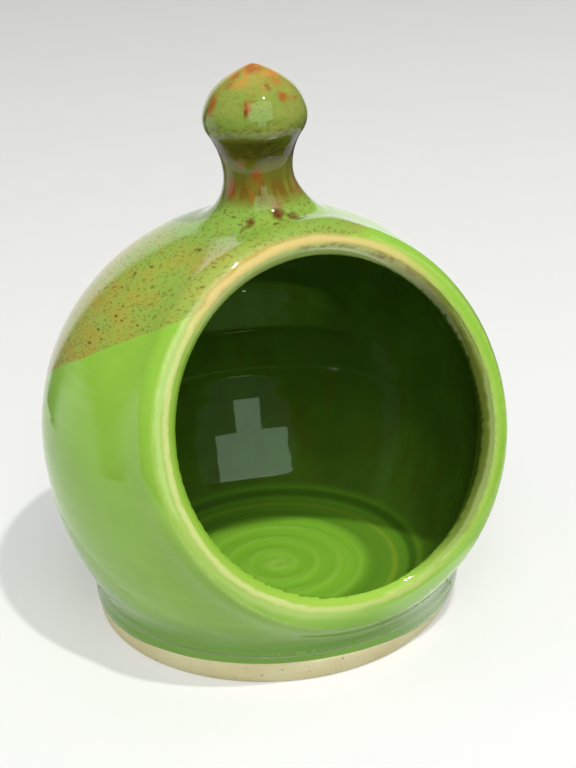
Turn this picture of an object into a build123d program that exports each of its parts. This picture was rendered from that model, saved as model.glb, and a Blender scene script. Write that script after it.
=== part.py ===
from build123d import *
from math import cos, radians, sin, sqrt, tan
import os

# Salt pig: a thrown, glazed pot with a slanted round mouth and a knob on its crown.
# Millimetres. The origin is the centre of the foot, +Z is up and the mouth faces -Y.
# The clay is four joined pieces, and the glaze is three coats of one thickness on it.

# Belly, and the height of the whole pot, as the glazed surface has them
belly_radius = 66.9
belly_height = 56.0
total_height = 161.5

# Foot and waist: the foot's side lies inside the belly, and its contact ring inside that
foot_inset = 10.9
foot_contact_inset = 3.6
foot_bevel = 0.8
foot_height = 10.0
foot_side_height = 1.15
waist_radius_of_curve = 8.7

# Neck and knob: the tip above the knob's widest place, and that above the neck's narrowest
neck_radius = 9.9
neck_root_radius_of_curve = 14.0
knob_radius = 14.6
knob_rise = 15.2
knob_tip_rise = 14.8
knob_side_radius_of_curve = 6.5
knob_flank_radius_of_curve = 24.3
knob_tip_radius_of_curve = 3.0

# Wall, floor and glaze
wall_thickness = 6.6
floor_thickness = 6.6
heel_radius_of_curve = 16.0
glaze_thickness = 0.6

# Mouth: the lip's crest is a flat circle, sunk into the belly below and proud of the dome above
crest_radius = 49.9
lower_crest_height = 24.4
lower_crest_depth = 1.8
upper_crest_rise = 1.7
lip_inner_round = 4.4
lip_outer_round = 5.6
slice_depth = 3.0
slice_margin = 4.5
throat_edge_round = 2.6
collar_root_radius_of_curve = 9.0
collar_root_turn = 35.0
collar_depth = 24.0

# Joins between the pieces of clay: the knob's below the neck, the collar's outside the lip
base_height = 8.0
knob_seam_drop = 7.5
collar_seam_margin = 2.0
collar_seam_depth = 11.0
collar_seam_angle = 38.0

# Edges of the coats
glaze_line_height = 2.2
glaze_line_front_rise = 5.0
glaze_line_side_rise = -0.7
wiped_foot_height = 0.8
dip_depth = 62.1
dip_line_slope_across = 0.19
dip_line_slope_back = -0.483
liner_edge_margin = 0.9

# Room that every cutting shape takes beyond what it cuts
overrun = 60.0

# How closely a point has to lie on the throat to count, and where on an edge it is taken
fit_tolerance = 0.02
throat_edge_share = 0.37


def on_circle(centre, radius, towards):
    """The point of a circle that lies on the way from its centre to another point."""
    return centre + (towards - centre).normalized() * radius


def meeting_point(first, first_radius, second, second_radius):
    """Where two circles meet, on the left of the way from the first to the second."""
    gap = second - first
    along = (first_radius**2 - second_radius**2 + gap.length**2) / (2 * gap.length)
    way = gap.normalized()
    return first + way * along + Vector(-way.Y, way.X) * sqrt(first_radius**2 - along**2)


def belly_arc_radius(groove_centre, groove_radius):
    """Radius of the arc that leaves the belly upright and runs smoothly into a groove."""
    inward = belly_radius - groove_centre.X
    rise = groove_centre.Y - belly_height
    return (inward**2 + rise**2 - groove_radius**2) / (2 * (groove_radius + inward))


# Heights that follow from the total height
knob_height = total_height - knob_tip_rise
neck_height = knob_height - knob_rise
knob_seam_height = neck_height - knob_seam_drop
dip_line_height = total_height - dip_depth

# Circle centres of the outline, as radius and height
foot_radius = belly_radius - foot_inset
foot_radius_of_curve = (foot_contact_inset**2 + foot_height**2) / (2 * foot_contact_inset)
foot_centre = Vector(foot_radius - foot_radius_of_curve, foot_height)

waist_centre = Vector(foot_radius + waist_radius_of_curve, foot_height + foot_side_height)
root_centre = Vector(neck_radius + neck_root_radius_of_curve, neck_height)
belly_radius_of_curve = belly_arc_radius(waist_centre, waist_radius_of_curve)
belly_centre = Vector(belly_radius - belly_radius_of_curve, belly_height)
dome_radius_of_curve = belly_arc_radius(root_centre, neck_root_radius_of_curve)
dome_centre = Vector(belly_radius - dome_radius_of_curve, belly_height)

side_centre = Vector(knob_radius - knob_side_radius_of_curve, knob_height)
side_gap = side_centre - Vector(neck_radius, neck_height)
throat_radius_of_curve = (side_gap.length**2 - knob_side_radius_of_curve**2) / (
    2 * (side_gap.X + knob_side_radius_of_curve)
)
throat_centre = Vector(neck_radius + throat_radius_of_curve, neck_height)

tip_centre = Vector(0, total_height - knob_tip_radius_of_curve)
flank_centre = meeting_point(
    side_centre,
    knob_flank_radius_of_curve - knob_side_radius_of_curve,
    tip_centre,
    knob_flank_radius_of_curve - knob_tip_radius_of_curve,
)

# The lowest and highest point of the lip's crest, as radius and height at the front
crest_drop = belly_height - lower_crest_height
crest_reach = sqrt((belly_radius_of_curve - lower_crest_depth) ** 2 - crest_drop**2)
lower_crest = Vector(belly_centre.X + crest_reach, lower_crest_height)
upper_crest = meeting_point(
    dome_centre, dome_radius_of_curve + upper_crest_rise, lower_crest, 2 * crest_radius
)

# The mouth's axis and the plane that holds it, with X away from the axis and Y along it
crest_way = (upper_crest - lower_crest).normalized()
crest_middle = (lower_crest + upper_crest) / 2
mouth_way = Vector(0, -crest_way.Y, -crest_way.X)
mouth_centre = Vector(0, -crest_middle.X, crest_middle.Y)
mouth_axis = Axis(mouth_centre, mouth_way)
mouth_plane = Plane(
    origin=mouth_centre, x_dir=(1, 0, 0), z_dir=(0, -mouth_way.Z, mouth_way.Y)
)
throat_radius = crest_radius - lip_inner_round
collar_radius = crest_radius + lip_outer_round
slice_radius = collar_radius + slice_margin


def pot_outline(inset):
    """Half outline of the closed pot, with every surface but the foot's moved in by inset."""
    foot_curve = foot_radius_of_curve - inset
    edge_drop = foot_height - foot_bevel
    bevel_top = Vector(foot_centre.X + sqrt(foot_curve**2 - edge_drop**2), foot_bevel)
    foot_edge = Vector(bevel_top.X - foot_bevel, 0)
    foot_top = Vector(foot_radius - inset, foot_height)
    waist_foot = Vector(foot_radius - inset, waist_centre.Y)
    waist_top = on_circle(waist_centre, waist_radius_of_curve + inset, belly_centre)
    belly = Vector(belly_radius - inset, belly_height)
    root = on_circle(root_centre, neck_root_radius_of_curve + inset, dome_centre)
    neck = Vector(neck_radius - inset, neck_height)
    throat = on_circle(throat_centre, throat_radius_of_curve + inset, side_centre)
    side = Vector(knob_radius - inset, knob_height)
    flank_foot = side_centre + (side_centre - flank_centre).normalized() * (
        knob_side_radius_of_curve - inset
    )
    flank_top = tip_centre + (tip_centre - flank_centre).normalized() * (
        knob_tip_radius_of_curve - inset
    )
    tip = Vector(0, total_height - inset)

    Polyline((0, 0), foot_edge, bevel_top)
    RadiusArc(bevel_top, foot_top, -foot_curve)
    Line(foot_top, waist_foot)
    RadiusArc(waist_foot, waist_top, waist_radius_of_curve + inset)
    RadiusArc(waist_top, belly, -(belly_radius_of_curve - inset))
    RadiusArc(belly, root, -(dome_radius_of_curve - inset))
    RadiusArc(root, neck, neck_root_radius_of_curve + inset)
    RadiusArc(neck, throat, throat_radius_of_curve + inset)
    RadiusArc(throat, side, -(knob_side_radius_of_curve - inset))
    RadiusArc(side, flank_foot, -(knob_side_radius_of_curve - inset))
    RadiusArc(flank_foot, flank_top, -(knob_flank_radius_of_curve - inset))
    RadiusArc(flank_top, tip, -(knob_tip_radius_of_curve - inset))
    Line(tip, (0, 0))


def hollow_outline(growth):
    """Half outline of the hollow inside, with its wall and floor moved out by growth."""
    heel_height = floor_thickness + heel_radius_of_curve
    heel_reach = belly_radius_of_curve - wall_thickness - heel_radius_of_curve
    heel_centre = Vector(
        belly_centre.X + sqrt(heel_reach**2 - (belly_height - heel_height) ** 2), heel_height
    )
    wall_curve = belly_radius_of_curve - wall_thickness + growth
    dome_curve = dome_radius_of_curve - wall_thickness + growth
    floor = floor_thickness - growth
    floor_edge = Vector(heel_centre.X, floor)
    heel_top = heel_centre + (heel_centre - belly_centre).normalized() * (
        heel_radius_of_curve + growth
    )
    belly = Vector(belly_radius - wall_thickness + growth, belly_height)
    # A dome whose arc is centred outside the axis ends in a small flat, any other in a point
    crown_across = max(dome_centre.X, 0)
    crown_rise = sqrt(dome_curve**2 - (crown_across - dome_centre.X) ** 2)
    crown_edge = Vector(crown_across, belly_height + crown_rise)
    crown = Vector(0, crown_edge.Y)

    Line((0, floor), floor_edge)
    RadiusArc(floor_edge, heel_top, -(heel_radius_of_curve + growth))
    RadiusArc(heel_top, belly, -wall_curve)
    RadiusArc(belly, crown_edge, -dome_curve)
    if crown_across > 0:
        Line(crown_edge, crown)
    Line(crown, (0, floor))


def collar_outline(inset):
    """Section of the mouth ring from the throat over the lip to its spreading root."""
    crest = Vector(crest_radius, -inset)
    throat = Vector(throat_radius + inset, -lip_inner_round)
    flank = Vector(collar_radius - inset, -lip_outer_round)
    turn = radians(collar_root_turn)
    curve = collar_root_radius_of_curve + inset
    root = flank + Vector(curve * (1 - cos(turn)), -curve * sin(turn))

    RadiusArc(throat, crest, lip_inner_round - inset)
    RadiusArc(crest, flank, lip_outer_round - inset)
    RadiusArc(flank, root, -curve)
    Polyline(root, (root.X, -collar_depth), (throat.X, -collar_depth), throat)


def mouth_edges(part, radius):
    """The edges where the throat, a round hole of this radius, breaks into the hollow."""
    edges = ShapeList()
    for edge in part.edges().filter_by(GeomType.LINE, reverse=True):
        reach = edge.position_at(throat_edge_share) - mouth_centre
        depth = reach.dot(mouth_way)
        away = (reach - mouth_way * depth).length
        if abs(away - radius) < fit_tolerance and depth < -lip_inner_round - fit_tolerance:
            edges.append(edge)
    return edges


def pot_form(inset):
    """The whole hollow pot, with every surface but the foot's moved into the clay by inset."""
    with BuildPart() as form:
        with BuildSketch(Plane.XZ):
            with BuildLine():
                pot_outline(inset)
            make_face()
        revolve(axis=Axis.Z)
        # The front is sliced off flat and bored, and the ring is set on the slice
        with BuildSketch(mouth_plane):
            slice_height = -slice_depth - inset
            Polygon(
                (0, slice_height),
                (slice_radius, slice_height),
                (slice_radius, overrun),
                (0, overrun),
                align=None,
            )
            Polygon(
                (0, -collar_depth),
                (crest_radius, -collar_depth),
                (crest_radius, overrun),
                (0, overrun),
                align=None,
            )
        revolve(axis=mouth_axis, mode=Mode.SUBTRACT)
        with BuildSketch(mouth_plane):
            with BuildLine():
                collar_outline(inset)
            make_face()
        revolve(axis=mouth_axis)
        with BuildSketch(Plane.XZ):
            with BuildLine():
                hollow_outline(inset)
            make_face()
        revolve(axis=Axis.Z, mode=Mode.SUBTRACT)
        fillet(mouth_edges(form, throat_radius + inset), throat_edge_round - inset)
    return form


glazed = pot_form(0)
clay = pot_form(glaze_thickness)

# The seam round the collar is a cone that opens towards the front
with BuildPart() as seam:
    with BuildSketch(mouth_plane):
        spread = tan(radians(collar_seam_angle))
        seam_apex = -collar_seam_depth - (collar_radius + collar_seam_margin) / spread
        seam_mouth = (overrun - seam_apex) * spread
        Polygon((0, seam_apex), (seam_mouth, overrun), (0, overrun), align=None)
    revolve(axis=mouth_axis)

with BuildPart() as base:
    add(clay.part)
    split(bisect_by=Plane.XY.offset(base_height), keep=Keep.BOTTOM)

with BuildPart() as mouth_collar:
    add(clay.part)
    split(bisect_by=Plane.XY.offset(base_height), keep=Keep.TOP)
    add(seam.part, mode=Mode.INTERSECT)

with BuildPart() as pot_wall:
    add(clay.part)
    split(bisect_by=Plane.XY.offset(base_height), keep=Keep.TOP)
    split(bisect_by=Plane.XY.offset(knob_seam_height), keep=Keep.BOTTOM)
    add(seam.part, mode=Mode.SUBTRACT)

with BuildPart() as knob:
    add(clay.part)
    split(bisect_by=Plane.XY.offset(knob_seam_height), keep=Keep.TOP)

# The coats: what the glazed pot has beyond the clay, parted at the lip's crest
with BuildPart() as coat:
    add(glazed.part)
    add(clay.part, mode=Mode.SUBTRACT)

with BuildPart() as lining_room:
    liner_edge_radius = crest_radius - liner_edge_margin
    with BuildSketch(Plane.XZ):
        with BuildLine():
            hollow_outline(wall_thickness / 2)
        make_face()
    revolve(axis=Axis.Z)
    with BuildSketch(mouth_plane):
        Polygon(
            (0, -collar_depth),
            (liner_edge_radius, -collar_depth),
            (liner_edge_radius, overrun),
            (0, overrun),
            align=None,
        )
    revolve(axis=mouth_axis)

# The glaze line round the foot and the dip line round the shoulder are flat, tilted planes
glaze_line = Plane(
    origin=(0, 0, glaze_line_height),
    z_dir=(-glaze_line_side_rise / foot_radius, glaze_line_front_rise / foot_radius, 1),
)
dip_line = Plane(
    origin=(0, 0, dip_line_height), z_dir=(-dip_line_slope_across, -dip_line_slope_back, 1)
)

with BuildPart() as liner_glaze:
    add(coat.part)
    add(lining_room.part, mode=Mode.INTERSECT)

with BuildPart() as green_glaze:
    add(coat.part)
    add(lining_room.part, mode=Mode.SUBTRACT)
    split(bisect_by=glaze_line, keep=Keep.TOP)
    split(bisect_by=Plane.XY.offset(wiped_foot_height), keep=Keep.TOP)
    split(bisect_by=dip_line, keep=Keep.BOTTOM)

with BuildPart() as dip_glaze:
    add(coat.part)
    add(lining_room.part, mode=Mode.SUBTRACT)
    split(bisect_by=dip_line, keep=Keep.TOP)

pieces = {
    "base": base,
    "pot_wall": pot_wall,
    "mouth_collar": mouth_collar,
    "knob": knob,
    "liner_glaze": liner_glaze,
    "green_glaze": green_glaze,
    "dip_glaze": dip_glaze,
}

os.makedirs("parts", exist_ok=True)
for name, piece in pieces.items():
    piece.part.label = name
    export_step(piece.part, f"parts/{name}.step")
    print(name, len(piece.part.solids()), "solid", round(piece.part.volume), "cubic mm")
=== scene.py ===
from math import cos, pi, radians, sin

import bmesh
import bpy
import numpy as np
from mathutils import Matrix, Vector


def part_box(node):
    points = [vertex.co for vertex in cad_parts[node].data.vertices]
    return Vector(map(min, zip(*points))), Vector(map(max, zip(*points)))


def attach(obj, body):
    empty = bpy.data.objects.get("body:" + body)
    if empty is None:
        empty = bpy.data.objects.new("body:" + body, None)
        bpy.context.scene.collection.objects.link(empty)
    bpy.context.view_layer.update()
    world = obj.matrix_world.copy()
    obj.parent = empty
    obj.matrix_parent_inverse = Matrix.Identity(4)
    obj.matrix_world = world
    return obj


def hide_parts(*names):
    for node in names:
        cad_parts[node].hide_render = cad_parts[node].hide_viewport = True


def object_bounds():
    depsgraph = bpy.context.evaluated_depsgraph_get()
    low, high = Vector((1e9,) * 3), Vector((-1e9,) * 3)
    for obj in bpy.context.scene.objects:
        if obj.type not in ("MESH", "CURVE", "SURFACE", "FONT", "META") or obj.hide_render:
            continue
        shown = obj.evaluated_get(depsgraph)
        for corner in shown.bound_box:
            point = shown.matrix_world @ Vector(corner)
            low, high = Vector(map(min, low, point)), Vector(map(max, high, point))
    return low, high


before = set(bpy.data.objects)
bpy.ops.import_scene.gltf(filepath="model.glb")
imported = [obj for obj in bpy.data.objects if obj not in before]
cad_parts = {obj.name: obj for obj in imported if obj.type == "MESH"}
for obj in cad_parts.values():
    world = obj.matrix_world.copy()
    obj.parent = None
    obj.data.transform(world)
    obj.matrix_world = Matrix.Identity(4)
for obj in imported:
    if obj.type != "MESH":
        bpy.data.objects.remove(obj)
cad_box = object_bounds()

# The foot: the disc that the pot was thrown on, in buff stoneware, left bare below the glaze so
# that the pot can't stick to the kiln shelf. It was trimmed on the wheel, which left fine rings.
mm = 0.001
foot_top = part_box("base")[1]
foot_contact_radius = 53.4 * mm
foot_bevel = 0.6 * mm
foot_curve_radius = 28.9 * mm
foot_curve_height = 10.0 * mm
foot_curve_across = 26.5 * mm
foot_off_centre = (-0.9, 1.0, 0.0)
floor_height = 5.9 * mm
heel_across = 35.3 * mm
heel_height = 22.6 * mm
heel_radius = 16.7 * mm
clay_colour = (0.90, 0.84, 0.52)
clay_warm_colour = (0.78, 0.67, 0.36)
clay_grit_colour = (0.30, 0.21, 0.12)
clay_relief = 0.12 * mm


def feed(tree, sockets, values):
    """Gives sockets their values: other nodes' outputs, numbers, vectors or colours."""
    for key, value in values.items():
        if isinstance(value, bpy.types.NodeSocket):
            tree.links.new(value, sockets[key])
        elif sockets[key].type == "RGBA":
            sockets[key].default_value = (*value, 1)
        else:
            sockets[key].default_value = value


def add_node(tree, kind, values=None, **settings):
    """A node with its settings and what its inputs get."""
    node = tree.nodes.new(kind)
    for name, setting in settings.items():
        setattr(node, name, setting)
    feed(tree, node.inputs, values or {})
    return node


def maths(tree, operation, *values, clamp=False):
    """A Math node's output."""
    inputs = dict(enumerate(values))
    return add_node(tree, "ShaderNodeMath", inputs, operation=operation, use_clamp=clamp).outputs[0]


def times(tree, *values):
    """The product of some values."""
    product = values[0]
    for value in values[1:]:
        product = maths(tree, "MULTIPLY", product, value)
    return product


def vector_maths(tree, operation, *values):
    """A Vector Math node's output: a number for a length, a distance or a dot product."""
    node = add_node(tree, "ShaderNodeVectorMath", dict(enumerate(values)), operation=operation)
    return node.outputs["Value" if operation in ("LENGTH", "DISTANCE", "DOT_PRODUCT") else "Vector"]


def apart(tree, vector):
    """The X, Y and Z of a vector."""
    return add_node(tree, "ShaderNodeSeparateXYZ", {0: vector}).outputs


def spread(tree, value, low, high, start=0.0, end=1.0):
    """The value taken smoothly from low..high to start..end."""
    inputs = dict(enumerate((value, low, high, start, end)))
    return add_node(tree, "ShaderNodeMapRange", inputs, interpolation_type="SMOOTHSTEP").outputs[0]


def mix(tree, share, first, second):
    """The first colour turned into the second by a share."""
    return add_node(tree, "ShaderNodeMix", {0: share, 6: first, 7: second}, data_type="RGBA").outputs[2]


def layered(tree, colour, *layers):
    """A colour with layers over it, each a share and a colour."""
    for share, over in layers:
        colour = mix(tree, share, colour, over)
    return colour


def noise(tree, place, size, detail=3.0):
    """Cloudy noise whose clouds are about as large as size, in metres."""
    inputs = {"Vector": place, "Scale": 1 / size, "Detail": detail}
    return add_node(tree, "ShaderNodeTexNoise", inputs).outputs["Fac"]


def stretched(tree, place, factors):
    """The place scaled along X, Y and Z, which stretches a pattern the other way."""
    return vector_maths(tree, "MULTIPLY", place, factors)


def dots(tree, place, size, radius, share):
    """Round dots in cells of a size, each up to radius of its cell, kept in a share of cells."""
    node = add_node(tree, "ShaderNodeTexVoronoi", {"Vector": place, "Scale": 1 / size}, feature="F1")
    draws = add_node(tree, "ShaderNodeSeparateColor", {0: node.outputs["Color"]}).outputs
    reach = times(tree, radius, spread(tree, draws[0], 0.0, 1.0, 0.35, 1.0))
    edge = maths(tree, "DIVIDE", node.outputs["Distance"], reach)
    dot = spread(tree, edge, 0.65, 1.35, 1.0, 0.0)
    return times(tree, dot, maths(tree, "LESS_THAN", draws[1], share))


def new_material(name):
    """A material with its tree, the inputs of its Principled shader, and the place in the piece."""
    material = bpy.data.materials.new(name)
    material.use_nodes = True
    tree = material.node_tree
    tree.nodes.clear()
    shader = add_node(tree, "ShaderNodeBsdfPrincipled")
    add_node(tree, "ShaderNodeOutputMaterial", {0: shader.outputs[0]})
    return material, tree, shader.inputs, add_node(tree, "ShaderNodeTexCoord").outputs["Object"]


def new_group(name, kind, inputs, outputs):
    """A node group with its sockets, and the sockets of its input and output nodes."""
    group = bpy.data.node_groups.new(name, kind)
    for in_out, sockets in (("INPUT", inputs), ("OUTPUT", outputs)):
        for title, socket in sockets.items():
            group.interface.new_socket(title, in_out=in_out, socket_type="NodeSocket" + socket)
    given = add_node(group, "NodeGroupInput").outputs
    return group, given, add_node(group, "NodeGroupOutput").inputs


def make_clay(name, warmth):
    """Bare fired stoneware: buff, sandy, with a few dark grits and the lines of turning."""
    material, tree, shader, place = new_material(name)
    tone = noise(tree, place, 14 * mm, detail=5.0)
    sand = noise(tree, place, 0.7 * mm, detail=2.0)
    grit = dots(tree, place, 2.6 * mm, 0.16, share=0.35)
    colour = layered(
        tree,
        clay_colour,
        (spread(tree, tone, 0.35, 0.7, 0.0, warmth), clay_warm_colour),
        (spread(tree, sand, 0.3, 0.75, 0.0, 0.35), clay_warm_colour),
        (times(tree, grit, 0.6), clay_grit_colour),
    )
    turning = noise(tree, stretched(tree, place, (0.03, 0.03, 1.0)), 0.6 * mm, detail=2.0)
    relief = {"Height": maths(tree, "MULTIPLY_ADD", turning, 0.6, sand), "Distance": clay_relief}
    uneven = add_node(tree, "ShaderNodeBump", relief).outputs[0]
    rough = spread(tree, sand, 0.0, 1.0, 0.75, 0.95)
    feed(tree, shader, {"Base Color": colour, "Roughness": rough, "Normal": uneven})
    return material


def turned_foot_tree():
    """Geometry Nodes that turn the outline they are given round Z, with rings on its side."""
    sizes = {"Steps Round": "Int", "Steps Along": "Int", "Ring Depth": "Float", "Ring Spacing": "Float"}
    inputs = {"Outline": "Geometry", **sizes, "Off Centre": "Vector", "Clay": "Material"}
    tree, given, result = new_group("Turned Foot", "GeometryNodeTree", inputs, {"Foot": "Geometry"})
    steps = {"Vertices X": given["Steps Along"], "Vertices Y": given["Steps Round"]}
    mesh = add_node(tree, "GeometryNodeMeshGrid", steps).outputs["Mesh"]
    spot = apart(tree, add_node(tree, "GeometryNodeInputPosition").outputs[0])
    curve = add_node(tree, "GeometryNodeMeshToCurve", {0: given["Outline"]}).outputs[0]
    along = {"Curves": curve, "Factor": maths(tree, "ADD", spot["X"], 0.5)}
    sample = add_node(tree, "GeometryNodeSampleCurve", along, mode="FACTOR", use_all_curves=True)
    point = apart(tree, sample.outputs["Position"])
    waves = {"W": maths(tree, "DIVIDE", point["Z"], given["Ring Spacing"]), "Scale": 1.0}
    rings = add_node(tree, "ShaderNodeTexNoise", waves, noise_dimensions="1D").outputs["Fac"]
    groove = times(tree, rings, given["Ring Depth"])
    outward = maths(tree, "DIVIDE", point["X"], foot_top.x, clamp=True)
    across = maths(tree, "SUBTRACT", point["X"], times(tree, groove, outward))
    angle = times(tree, spot["Y"], 2 * pi)
    x, y = (times(tree, across, maths(tree, kind, angle)) for kind in ("COSINE", "SINE"))
    turned = add_node(tree, "ShaderNodeCombineXYZ", {"X": x, "Y": y, "Z": point["Z"]}).outputs[0]
    rise = maths(tree, "DIVIDE", point["Z"], foot_curve_height)
    low = maths(tree, "SUBTRACT", 1.0, rise, clamp=True)
    aside = vector_maths(tree, "MULTIPLY", given["Off Centre"], times(tree, low, low))
    for kind, inputs in (
        ("GeometryNodeSetPosition", {"Position": turned, "Offset": aside}),
        ("GeometryNodeMergeByDistance", {"Distance": 0.002 * mm}),
        ("GeometryNodeRealizeInstances", {}),
        ("GeometryNodeSetMaterial", {"Material": given["Clay"]}),
    ):
        mesh = add_node(tree, kind, {0: mesh, **inputs}).outputs[0]
    feed(tree, result, {"Foot": mesh})
    return tree


def stand_in(piece, node):
    """Makes a piece ride with the pot in place of a CAD solid."""
    bpy.context.scene.collection.objects.link(piece)
    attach(piece, "root")
    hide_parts(node)


# Half section of the disc, as radius and height: under it, up its side, in and down
section = [(0.0, 0.0), (foot_contact_radius, 0.0)]
for height in np.linspace(foot_bevel, foot_top.z, 24):
    rise = foot_curve_height - height
    section.append((foot_curve_across + (foot_curve_radius**2 - rise**2) ** 0.5, height))
for height in np.linspace(foot_top.z, floor_height, 8):
    drop = min(heel_height - height, heel_radius)
    section.append((heel_across + (heel_radius**2 - drop**2) ** 0.5, height))
section.append((0.0, floor_height))
outline_mesh = bpy.data.meshes.new("foot_clay")
outline_mesh.from_pydata(
    [(across, 0, height) for across, height in section],
    [(i, i + 1) for i in range(len(section) - 1)],
    [],
)
outline = bpy.data.objects.new("foot_outline", outline_mesh)
bpy.context.scene.collection.objects.link(outline)
turning = outline.modifiers.new("turning", "NODES")
turning.node_group = turned_foot_tree()
foot_inputs = {
    "Steps Round": 288,
    "Steps Along": 130,
    "Ring Depth": 0.16 * mm,
    "Ring Spacing": 1.1 * mm,
    "Off Centre": tuple(shift * mm for shift in foot_off_centre),
    "Clay": make_clay("bare_clay", 0.6),
}
for item in turning.node_group.interface.items_tree:
    if item.name in foot_inputs:
        turning[item.identifier] = foot_inputs[item.name]
bpy.context.view_layer.update()
evaluated = outline.evaluated_get(bpy.context.evaluated_depsgraph_get())
foot_mesh = bpy.data.meshes.new_from_object(evaluated)
foot_mesh.shade_smooth()
foot_mesh.set_sharp_from_angle(angle=radians(35))
bpy.data.objects.remove(outline)
stand_in(bpy.data.objects.new("foot_clay", foot_mesh), "base")

# The liner: clear green glaze poured into the pot and out again, over the rings that the
# potter's fingers left inside. It pools on the floor and runs out over the throat to the lip.
belly_radius = 66.9
belly_height = 56.0
belly_curve = 89.0
dome_curve = 64.5
waist_centre = np.array((64.7, 11.15))
waist_curve = 8.7
root_centre = np.array((23.9, 131.5))
root_curve = 14.0
neck_centre = np.array((30.33, 131.5))
neck_curve = 20.43
side_centre = np.array((8.1, 146.7))
side_curve = 6.5
flank_centre = np.array((-7.79, 138.68))
flank_curve = 24.3
tip_centre = np.array((0.0, 158.5))
tip_curve = 3.0
foot_side = 56.0
foot_side_top = 10.0
foot_round = 29.5
foot_drop = 13.6
wall_thickness = 6.6
inner_floor = 6.6
low_zone = 30.0
heel_centre = np.array((35.3, 22.6))
heel_curve = 16.0
mouth_tilt = radians(20)
mouth_axis_height = 56.0
mouth_reach = 44.8
crest_radius = 49.9
throat_radius = 45.5
inner_round = 4.4
outer_round = 5.6
collar_depth = 24.0
slice_depth = 3.0
slice_radius = 60.0
bore_radius = 52.0
root_blend = 6.0
throat_blend = 6.0
liner_edge_radius = 49.0
glaze_depth = 0.58
clearance = 0.22
cell = 1.1

belly_centre = np.array((belly_radius - belly_curve, belly_height))
dome_centre = np.array((belly_radius - dome_curve, belly_height))
mouth_way = np.array((0.0, -cos(mouth_tilt), sin(mouth_tilt)))
mouth_up = np.array((0.0, sin(mouth_tilt), cos(mouth_tilt)))
mouth_centre = np.array((0.0, 0.0, mouth_axis_height)) + mouth_way * mouth_reach


def towards(centre, radius, target):
    """The circle's point towards a target, or the opposite one if radius is less than 0."""
    way = target - centre
    return centre + way / np.linalg.norm(way) * radius


waist_top = towards(waist_centre, waist_curve, belly_centre)
root_top = towards(root_centre, root_curve, dome_centre)
neck_top = towards(neck_centre, neck_curve, side_centre)
flank_foot = towards(side_centre, -side_curve, flank_centre)
flank_top = towards(tip_centre, -tip_curve, flank_centre)
foot_centre = np.array((foot_side - foot_round, foot_side_top))
foot_low_end = foot_centre + (0.5 * foot_round, -foot_drop)
neck_waist = (neck_centre[0] - neck_curve, neck_centre[1])
belly = (belly_radius, belly_height)
inner_belly = (belly_radius - wall_thickness, belly_height)
heel_foot = (heel_centre[0], inner_floor)
heel_top = towards(heel_centre, -heel_curve, belly_centre)
crown = np.array((dome_centre[0], belly_height + dome_curve - wall_thickness))

# Arcs of the outside and of the hollow: centre, radius, two ends, and -1 where they curve in
outside_arcs = (
    (foot_centre, foot_round, foot_low_end, (foot_side, foot_side_top), 1),
    (waist_centre, waist_curve, (foot_side, waist_centre[1]), waist_top, -1),
    (belly_centre, belly_curve, waist_top, belly, 1),
    (dome_centre, dome_curve, belly, root_top, 1),
    (root_centre, root_curve, root_top, neck_waist, -1),
    (neck_centre, neck_curve, neck_waist, neck_top, -1),
    (side_centre, side_curve, neck_top, flank_foot, 1),
    (flank_centre, flank_curve, flank_foot, flank_top, 1),
    (tip_centre, tip_curve, flank_top, (0.0, tip_centre[1] + tip_curve), 1),
)
hollow_arcs = (
    (heel_centre, heel_curve, heel_foot, heel_top, 1),
    (belly_centre, belly_curve - wall_thickness, heel_top, inner_belly, 1),
    (dome_centre, dome_curve - wall_thickness, inner_belly, crown, 1),
)


def arc_distance(arcs, across, height):
    """Distance to a chain of arcs in the turning plane, negative on their inner side."""
    nearest = np.full(across.shape, np.inf)
    signed = np.zeros(across.shape)
    for centre, radius, first, last, sign in arcs:
        out, up = across - centre[0], height - centre[1]
        ends = np.arctan2(*(np.array((first, last)) - centre).T[::-1])
        angle = np.arctan2(up, out)
        if sign < 0:
            ends, angle = ends % (2 * pi), angle % (2 * pi)
        held = np.clip(angle, ends.min(), ends.max())
        inner = sign * (np.hypot(out, up) - radius)
        away = np.hypot(out - radius * np.cos(held), up - radius * np.sin(held))
        value = np.where(held == angle, inner, np.sign(inner) * away)
        closer = away < nearest
        nearest = np.where(closer, away, nearest)
        signed = np.where(closer, value, signed)
    return signed


def mouth_place(points):
    """Depth along the mouth's axis from the crest's plane, and distance from that axis."""
    offset = points - mouth_centre
    depth = offset @ mouth_way
    return depth, np.linalg.norm(offset - depth[:, None] * mouth_way, axis=1)


def smooth_least(first, second, width):
    """The lesser of two fields, with a rounded change from one to the other."""
    share = np.clip(0.5 + 0.5 * (second - first) / width, 0, 1)
    return second * (1 - share) + first * share - width * share * (1 - share)


def hollow_distance(points):
    """Distance to the hollow's wall, floor and crown, negative in the hollow."""
    across, height = np.hypot(points[:, 0], points[:, 1]), points[:, 2]
    wall = arc_distance(hollow_arcs, across, height)
    wall = np.where((across < heel_centre[0]) & (height < low_zone), inner_floor - height, wall)
    return np.where((across < crown[0]) & (height > belly_height), height - crown[1], wall)


def body_distance(points):
    """Distance to the solid pot with its mouth ring, before it is hollowed."""
    across, height = np.hypot(points[:, 0], points[:, 1]), points[:, 2]
    depth, away = mouth_place(points)
    body = arc_distance(outside_arcs, across, height)
    body = np.where((across < foot_centre[0]) & (height < 2 * foot_side_top), across - foot_side, body)
    body = np.maximum(body, np.minimum(depth + slice_depth, slice_radius - away))
    body = np.maximum(body, np.minimum(bore_radius - away, depth + collar_depth))
    off = np.abs(away - crest_radius)
    rounding = np.where(away < crest_radius, inner_round, outer_round)
    ring = np.where(depth > -rounding, np.hypot(off, depth + rounding), off) - rounding
    ring = np.maximum(ring, -collar_depth - depth)
    return smooth_least(body, ring, root_blend)


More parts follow.
